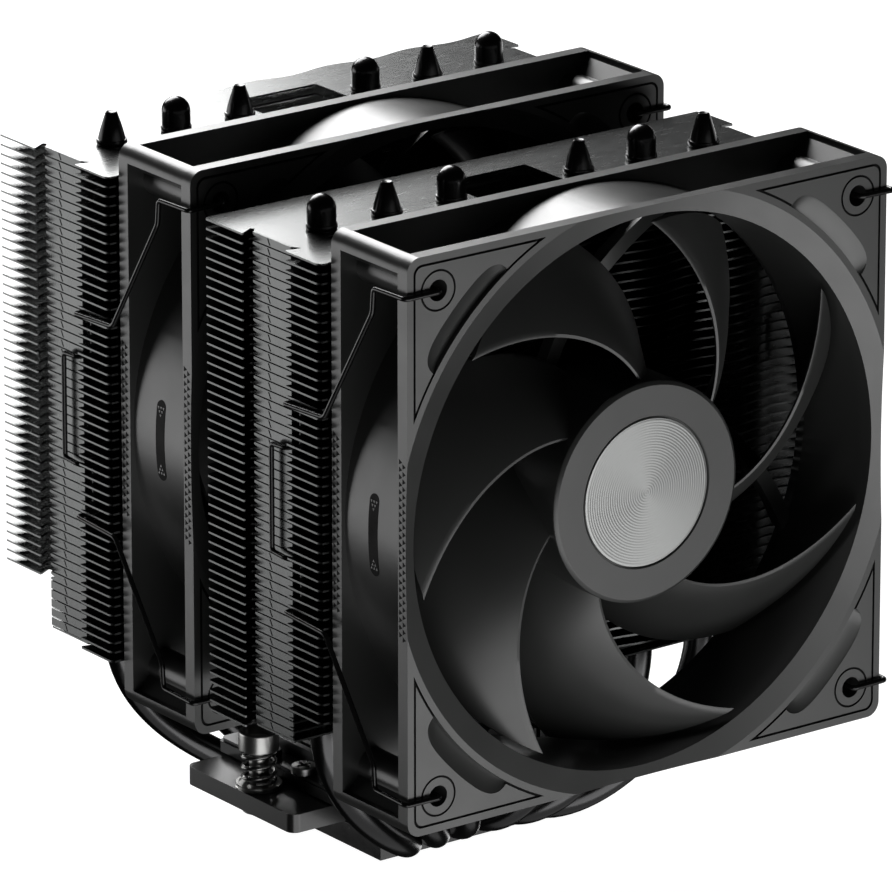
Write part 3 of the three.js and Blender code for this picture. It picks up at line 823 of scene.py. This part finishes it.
def make_fan_frame(which):
    """One fan frame: a moulding with grooved corner pads, knurled edges drawn as painted shade, and
    four struts.
    """
    work = frame_solid()
    boolean(work, loose(crescents(), "crescents"), "DIFFERENCE")
    boolean(work, loose(pad_grooves(), "grooves", ("frame", "painted_shade")), "DIFFERENCE")
    marks = Shell()
    painted_knurl_shade(marks)
    side_recess_shade_and_arrows(marks)
    arms = Shell()
    struts_and_cup(arms)
    shift = Matrix.Translation(Vector((0, FAN_FRONTS[which], FAN_Z)) * MM)
    # the marks piece holds the raised arrows and the near-black painted-shade knurls and side patch
    parts = [(work, "frame_look", 0.22), (loose(marks, "marks", ("frame", "painted_shade")), "frame_arrows_and_painted_shade", 0),
             (loose(arms, "arms"), "frame_arms", 0.15)]
    for part, name, bevel in parts:
        part.data.transform(shift)
        mesh = part.data
        bpy.data.objects.remove(part)
        dress(mesh, f"{which}_{name}", "cooler", [f"{which}_fan_frame"], bevel, 2, 10)


def sweep_back(radius):
    """How far, in degrees, the leading edge trails the tip's at a radius."""
    inward = BLADE_TIP - radius
    return 1.36 * inward + 0.004 * inward * inward


def blade_point(span, along, face):
    """A point of one blade; span and along run 0 to 1, face is -1 to 1 across its thickness."""
    radius = BLADE_ROOT + (BLADE_TIP - BLADE_ROOT) * span
    angle = 140.23 - sweep_back(radius) - 35 * along
    front = 1.6 + 1.9 * (1 - span)
    axial = front + (20.0 - front) * (0.72 * along + 0.28 * along * along)
    thick = 0.95 * (0.35 + 0.65 * math.sin(math.pi * min(0.93, 0.12 + along)) ** 0.8)
    rounded_nose = min(1.0, math.sqrt(max(0.0, along) / 0.04)) if along < 0.04 else 1.0
    return radius, angle, axial + face * thick * (0.25 + 0.75 * rounded_nose)


def add_blade(shell, number):
    """One swept blade as a closed skin."""
    spans, chords = 30, 26
    verts = []
    for face in (-1, 1):
        for s in range(spans + 1):
            for c in range(chords + 1):
                radius, angle, axial = blade_point(s / spans, c / chords, face)
                a = math.radians(angle - 360 / BLADES * number)
                verts.append((radius * math.cos(a), axial, radius * math.sin(a)))
    row = chords + 1
    sheet = (spans + 1) * row
    faces = []
    for s in range(spans):
        for c in range(chords):
            p = s * row + c
            faces.append((p, p + 1, p + row + 1, p + row))
            faces.append((sheet + p, sheet + p + row, sheet + p + row + 1, sheet + p + 1))
    rim = [c for c in range(row)]
    rim += [s * row + chords for s in range(1, spans + 1)]
    rim += [spans * row + c for c in reversed(range(chords))]
    rim += [s * row for s in reversed(range(1, spans))]
    for a, b in zip(rim, rim[1:] + rim[:1]):
        faces.append((a, b, sheet + b, sheet + a))
    shell.add(verts, faces)


def make_impeller(which):
    """Hub and seven blades, one moulding, with its spun badge."""
    body = f"{which}_rotor"
    shell = Shell()
    hub = [(0, 1.5), (15.75, 1.5), (15.75, 1.1), (15.9, 0.9), (16.1, 0.9), (22.2, 0.9),
           (22.3, 0.9), (22.95, 1.35), (23.05, 1.6), (23.05, 1.8), (23.05, 18.6), (22.85, 18.8),
           (21.55, 18.8), (21.55, 2.9), (0, 2.9)]
    shell.lathe(hub, axis="Y", sides=128)
    for number in range(BLADES):
        add_blade(shell, number)
    shift = (0, FAN_FRONTS[which], FAN_Z)
    shell.verts = [tuple(v + s for v, s in zip(vert, shift)) for vert in shell.verts]
    shell.make(f"{which}_impeller_look", ["rotor"], body, [f"{which}_impeller"], angle=35)
    disc = Shell()
    face = BADGE_FACE
    disc.lathe([(0, face), (14.9, face), (15.35, face + 0.06), (15.5, face + 0.25), (15.5, face + 0.58),
                (0, face + 0.58)], shift, "Y", 128)
    disc.make(f"{which}_badge_look", ["badge"], body, [f"{which}_hub_badge"], angle=30)


# ------------------------------------------------------------------ wire clips
def fillet(corners, bend, steps=6):
    """A polyline with each corner turned into a small arc-like bend."""
    points = [Vector(c) for c in corners]
    path = [points[0]]
    for i in range(1, len(points) - 1):
        at = points[i]
        back, on = points[i - 1] - at, points[i + 1] - at
        reach = min(bend, back.length * 0.45, on.length * 0.45)
        start, end = at + back.normalized() * reach, at + on.normalized() * reach
        for k in range(steps + 1):
            t = k / steps
            path.append(start * (1 - t) ** 2 + at * 2 * t * (1 - t) + end * t * t)
    path.append(points[-1])
    return path


def clip_half(front):
    """Left clip's upper half, from the screw hole to its handle; z is from the fan axis."""
    return [(-52.5, front + 2.4, 52.5), (-52.5, front - 0.95, 52.5), (-61, front - 0.95, 52.4),
            (-61, front + 9.6, 52.1), (-61, front + 10, 47), (-63.6, front + 22.6, 22.6),
            (-63.6, front + 36.1, 21.9), (-59.2, front + 36.1, 21.6), (-59.2, front + 36.1, 12.2),
            (-61.5, front + 38.6, 11.6), (-61.5, front + 43.4, 11.3)]


def make_clips():
    """Four bent wire clips."""
    for which in ("front", "mid"):
        for hand, side in (("left", 1), ("right", -1)):
            half = clip_half(FAN_FRONTS[which])
            corners = half + [(x, y, -z) for x, y, z in reversed(half)]
            path = fillet([(side * x, y, FAN_Z + z) for x, y, z in corners], 1.0)
            shell = Shell()
            shell.tube(path, 0.54, 14)
            shell.make(f"{which}_clip_{hand}_look", ["wire"], f"{which}_{hand}_clip",
                       [f"{which}_clip_{hand}"], angle=40)


# ------------------------------------------------------------------ base
def make_base_block():
    """Cold plate and cover, with half-round channels for the pipes."""
    for name, node, low, high in (("cold_plate_look", "cold_plate", PLATE_LOW, PLATE_HIGH),
                                  ("base_cover_look", "base_cover", COVER_LOW, COVER_HIGH)):
        upper = node == "base_cover"
        edge = []
        for i in range(PIPES):
            reach = PIPE_RADIUS + 0.12
            face = low.z if upper else high.z
            lift = face - BASE_Z
            half = math.degrees(math.asin(lift / reach))
            angles = (180 - half, half) if upper else (180 - half, 360 + half)
            edge += arc(reach, angles[0], angles[1], 14, base_x(i), BASE_Z)
        if upper:
            outline = edge + [(high.x, low.z), (high.x, high.z), (low.x, high.z), (low.x, low.z)]
        else:
            outline = edge + [(high.x, high.z), (high.x, low.z), (low.x, low.z), (low.x, high.z)]
        shell = Shell()
        shell.slab([outline], low.y, high.y, "Y")
        shell.make(name, ["nickel"], "cooler", [node], bevel=0.15)


def make_crossbar():
    """Glossy bar with rounded ends and its screw holes."""
    middle = (BAR_LOW.y + BAR_HIGH.y) / 2
    loops = [rounded(BAR_HIGH.x, BAR_HIGH.y - middle, 2.1, 10, 0, middle)]
    loops += [circle(2.45, 32, side * SCREW_X, 0) for side in (-1, 1)]
    loops += [circle(1.6, 20, sx * RETAINER_X, sy * RETAINER_Y) for sx, sy in corner_signs()]
    shell = Shell()
    shell.slab(loops, BAR_LOW.z, BAR_HIGH.z)
    shell.make("crossbar_look", ["bar"], "cooler", ["mounting_crossbar"], bevel=0.35,
               segments=3)


def make_top_plate():
    """Stepped plate with lengthwise ribs between the screw ledges."""
    top = CAP_TOP
    holes = [circle(1.6, 20, sx * RETAINER_X, sy * RETAINER_Y) for sx, sy in corner_signs()]
    shell = Shell()
    shell.slab([rounded(CAP_HIGH.x, CAP_HIGH.y, 1.5, 6), *holes], CAP_LOW.z, top - 0.7)
    shell.slab([rounded(CAP_HIGH.x - 0.5, CAP_HIGH.y - 0.5, 1.2, 6), *holes], top - 0.8, top)
    count = 24
    pitch = 2 * 28.2 / count
    for k in range(count):
        x = -28.2 + (k + 0.5) * pitch
        shell.block((x - pitch * 0.28, -20, top - 0.4), (x + pitch * 0.28, 20, CAP_HIGH.z))
    shell.make("top_plate_look", ["cap"], "cooler", ["base_top_plate"], bevel=0.14)


def make_retainers():
    """Pan-head screws with a cross recess."""
    arm = 1.6
    width = 0.42
    cross = [(arm, width), (width, width), (width, arm), (-width, arm), (-width, width),
             (-arm, width), (-arm, -width), (-width, -width), (-width, -arm), (width, -arm),
             (width, -width), (arm, -width)]
    for i, (sx, sy) in enumerate([(-1, -1), (1, -1), (-1, 1), (1, 1)]):
        head = Shell()
        head.lathe([(0, 11.4), (1.2, 11.4), (1.2, CAP_TOP), (2.6, CAP_TOP), (2.7, CAP_TOP + 0.12),
                    (2.7, 19.85), (2.6, 20.04), (2.4, 20.1), (0, 20.1)],
                   (sx * RETAINER_X, sy * RETAINER_Y, 0), "Z", 48)
        target = loose(head, "head", ("screw",))
        cut = Shell()
        cut.slab([[(x + sx * RETAINER_X, y + sy * RETAINER_Y) for x, y in cross]], 19.2, 22)
        boolean(target, loose(cut, "cross", ("screw",)), "DIFFERENCE")
        mesh = target.data
        bpy.data.objects.remove(target)
        dress(mesh, f"retainer_{i + 1}_look", "cooler", [f"retainer_screw_{i + 1}"])


def make_spring_screws():
    """Caps, studs, washers and rings of the two captive screws."""
    for hand, side in (("left", -1), ("right", 1)):
        x = side * SCREW_X
        low, high = box_mm(f"{hand}_spring_screw")
        cap, rim, top = 23.3, (high.x - low.x) / 2, high.z
        shell = Shell()
        shell.lathe([(0, low.z), (1.5, low.z), (1.7, low.z + 0.2), (1.7, 10.8), (2.0, 10.85),
                     (2.05, 11.0), (2.05, cap), (rim - 0.35, cap), (rim - 0.1, cap + 0.1),
                     (rim, cap + 0.35), (rim, top - 0.4), (rim - 0.1, top - 0.12),
                     (rim - 0.3, top), (3.5, top), (3.35, top - 0.15), (3.3, 25.4), (2.2, 25.2),
                     (2.0, 24.6), (0, 24.6)], (x, 0, 0), "Z", 64)
        shell.make(f"{hand}_screw_look", ["steel"], f"{hand}_screw", [f"{hand}_spring_screw"],
                   angle=28)
        washer = Shell()
        washer.lathe([(2.4, 15.12), (4.8, 15.12), (4.9, 15.22), (4.9, 15.5), (4.7, 15.62),
                      (4.7, 15.72), (4.9, 15.84), (4.9, 16.1), (4.8, 16.2), (4.2, 16.2),
                      (4.1, 16.05), (2.4, 16.05)], (x, 0, 0), "Z", 64, closed=True)
        washer.make(f"{hand}_washer_look", ["steel"], "cooler", [f"{hand}_spring_washer"])
        ring = Shell()
        ring.lathe([(2.1, 9.9), (3.4, 9.9), (3.5, 10.0), (3.5, 10.6), (3.4, 10.7), (2.1, 10.7)],
                   (x, 0, 0), "Z", 48, closed=True)
        ring.make(f"{hand}_ring_look", ["screw"], f"{hand}_screw_carrier",
                  [f"{hand}_retaining_ring"])


def make_springs():
    """Coil springs, closed at both ends."""
    for hand, side in (("left", -1), ("right", 1)):
        low, high = box_mm(f"{hand}_coil_spring")
        coils, wire, radius = 3.6, 0.46, 3.35
        steps = 200
        path = []
        for k in range(steps + 1):
            t = k / steps
            turn = 2 * math.pi * coils * t + math.pi * 1.25
            ease = min(1.0, max(0.0, (t - 0.14) / 0.74))
            z = low.z + wire + (high.z - low.z - 2 * wire) * ease
            path.append((side * SCREW_X + radius * math.cos(turn), radius * math.sin(turn), z))
        shell = Shell()
        shell.tube(path, wire, 14)
        coil = shell.make(f"{hand}_spring_look", ["spring"], "cooler", [f"{hand}_coil_spring"],
                          angle=50)
        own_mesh(coil)


# ------------------------------------------------------------------ carried-over CAD nodes
def finish_inner_parts():
    """Finishes for the motor parts that stay as the CAD made them."""
    looks = {"magnet_ring": "magnet", "motor_stator": "winding", "circuit_board": "board",
             "bearing_sleeve": "bearing", "shaft": "steel"}
    for which in ("front", "mid"):
        for suffix, look in looks.items():
            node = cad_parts[f"{which}_{suffix}"]
            node.data.materials.clear()
            node.data.materials.append(LOOK[look])


# ------------------------------------------------------------------ stage, light and camera
def make_stage():
    """A plain pale floor that the object stands on."""
    size = 6.0
    mesh = bpy.data.meshes.new("floor")
    z = -0.0002
    mesh.from_pydata([(-size, -size, z), (size, -size, z), (size, size, z), (-size, size, z)], [],
                     [(0, 1, 2, 3)])
    mat, _, shader = material("floor_pale", (0.25, 0.25, 0.25), 0.0, 0.9)
    shader.inputs["Emission Color"].default_value = (1, 1, 1, 1)
    shader.inputs["Emission Strength"].default_value = 1.0
    mesh.materials.append(mat)
    floor = bpy.data.objects.new("floor", mesh)
    bpy.context.scene.collection.objects.link(floor)
    floor.visible_glossy = False
    floor.visible_diffuse = False
    floor.visible_shadow = False


def soft_light(name, place, target, width, height, power):
    """A rectangular soft light facing a point."""
    data = bpy.data.lights.new(name, "AREA")
    data.shape = "RECTANGLE"
    data.size = width
    data.size_y = height
    data.energy = power
    light = bpy.data.objects.new(name, data)
    light.location = place
    light.rotation_euler = (Vector(target) - Vector(place)).to_track_quat("-Z", "Y").to_euler()
    bpy.context.scene.collection.objects.link(light)
    return light


def make_world():
    """White surroundings for the eye, dim ones for the light they give."""
    world = bpy.data.worlds.new("studio")
    bpy.context.scene.world = world
    world.use_nodes = True
    tree = world.node_tree
    background = tree.nodes["Background"]
    path = tree.nodes.new("ShaderNodeLightPath")
    mix = tree.nodes.new("ShaderNodeMix")
    mix.data_type = "RGBA"
    mix.inputs["A"].default_value = (0.008, 0.008, 0.008, 1)
    mix.inputs["B"].default_value = (1, 1, 1, 1)
    tree.links.new(path.outputs["Is Camera Ray"], mix.inputs["Factor"])
    tree.links.new(mix.outputs["Result"], background.inputs["Color"])


def make_lights():
    """Soft boxes: behind and above, behind at table height, and low in front."""
    soft_light("back_high", (0.16, 0.62, 0.55), (0.1, 0, 0.13), 0.56, 0.55, 8.2)
    soft_light("back_left_low", (-0.44, 0.68, -0.02), (-0.06, 0, 0.1), 0.62, 0.42, 1.4)
    soft_light("front_low", (-0.1, -0.95, -0.42), (0, -0.08, 0.09), 1.6, 0.8, 6.8)
    soft_light("front_right_low", (0.55, -0.95, -0.34), (0, -0.08, 0.09), 0.5, 0.5, 0.6)
    soft_light("back_right_low", (0.95, 0.52, -0.26), (0, 0, 0.08), 0.7, 0.6, 1.7)
    soft_light("right_low", (1.15, 0.05, -0.04), (0, 0, 0.08), 0.5, 0.5, 0.7)
    soft_light("below", (0, -0.25, -0.6), (0, 0, 0), 1.2, 0.8, 1.1)


def make_camera():
    """A long lens at the front left, a little above the object."""
    data = bpy.data.cameras.new("camera")
    data.sensor_width = 36.0
    data.lens = 375.27
    data.clip_end = 20.0
    camera = bpy.data.objects.new("camera", data)
    azimuth, elevation = -36.695, 18.577
    camera.location = (-1.08047, -1.46296, 0.69266)
    camera.rotation_euler = (math.radians(90 - elevation), 0, math.radians(azimuth))
    bpy.context.scene.collection.objects.link(camera)
    bpy.context.scene.camera = camera


# ------------------------------------------------------------------ build
make_pipes()
for tower in ("front", "rear"):
    make_tower(tower)
for fan in ("front", "mid"):
    make_fan_frame(fan)
    make_impeller(fan)
make_clips()
make_base_block()
make_crossbar()
make_top_plate()
make_retainers()
make_spring_screws()
make_springs()
finish_inner_parts()
make_stage()
make_world()
make_lights()
make_camera()
bpy.context.scene.view_settings.view_transform = "Standard"
